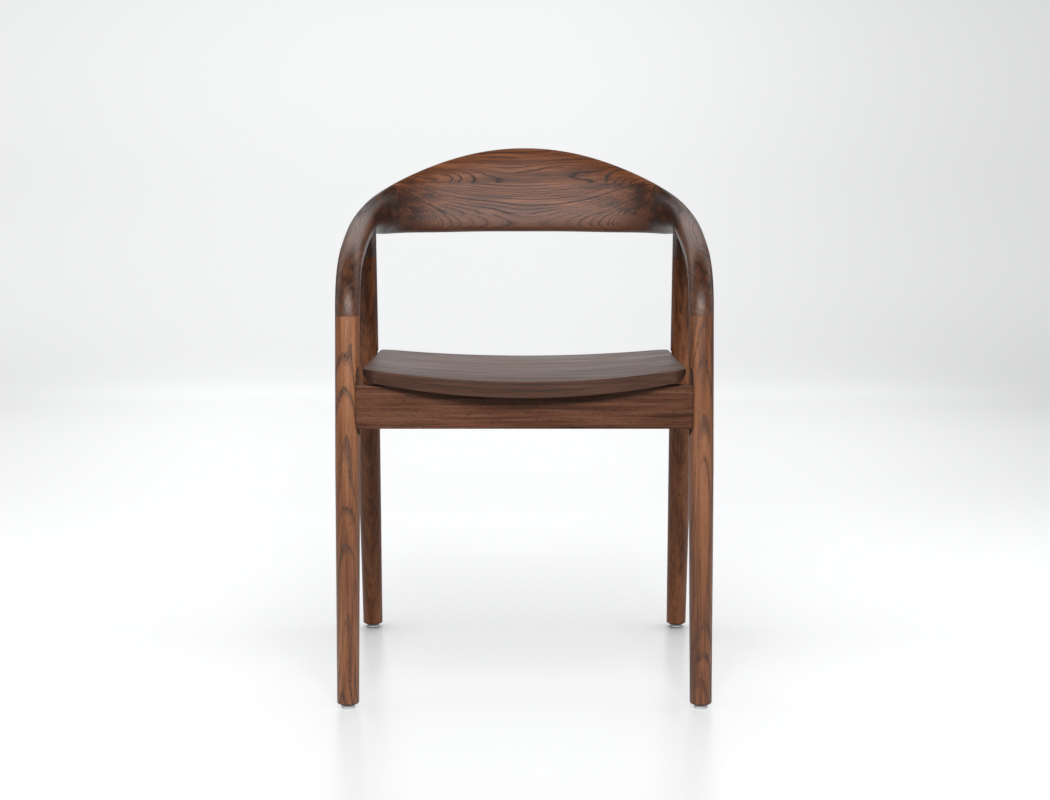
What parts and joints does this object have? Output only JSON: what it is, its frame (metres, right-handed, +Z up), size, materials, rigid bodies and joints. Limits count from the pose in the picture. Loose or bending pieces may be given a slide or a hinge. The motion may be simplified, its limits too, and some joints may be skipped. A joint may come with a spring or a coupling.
{
  "type": "horseshoe back armchair",
  "caption": "Wooden armchair whose arms and back form one horseshoe band, rising from round legs over sculpted elbows to a tall curved back, with a hollowed solid seat.",
  "frame": {"origin": "on the floor under the middle of the chair, the bottom centre of its bounding box", "axes": "+Z up, the chair faces -Y, +X to the right as seen from the front, the mirror plane is X = 0"},
  "size_m": [0.539, 0.5698, 0.7934],
  "materials": {
    "arm_wood": "dark stained, satin lacquer",
    "back_wood": "dark stained, satin lacquer",
    "leg_wood": "dark stained, satin lacquer",
    "rail_wood": "dark stained, satin lacquer",
    "seat_wood": "dark stained, satin lacquer",
    "inner_wood": "bare",
    "clear_plastic": "clear, moulded",
    "steel": "zinc plated"
  },
  "bodies": {
    "root": {"back_dowels": "inner_wood", "back_lower_board": "back_wood", "back_middle_board": "back_wood", "back_upper_board": "back_wood", "corner_block_screws": "steel", "front_rail": "rail_wood", "glide_nails": "steel", "left_arm": "arm_wood", "left_front_corner_block": "inner_wood", "left_front_glide": "clear_plastic", "left_front_leg": "leg_wood", "left_rear_corner_block": "inner_wood", "left_rear_glide": "clear_plastic", "left_rear_leg": "leg_wood", "left_side_rail": "rail_wood", "leg_dowels": "inner_wood", "rail_tenons": "inner_wood", "rear_rail": "rail_wood", "right_arm": "arm_wood", "right_front_corner_block": "inner_wood", "right_front_glide": "clear_plastic", "right_front_leg": "leg_wood", "right_rear_corner_block": "inner_wood", "right_rear_glide": "clear_plastic", "right_rear_leg": "leg_wood", "right_side_rail": "rail_wood", "seat_board_1": "seat_wood", "seat_board_2": "seat_wood", "seat_board_3": "seat_wood", "seat_board_4": "seat_wood", "seat_board_5": "seat_wood", "seat_board_6": "seat_wood", "seat_screws": "steel", "side_rail_tenons": "inner_wood"}
  },
  "joints": []
}
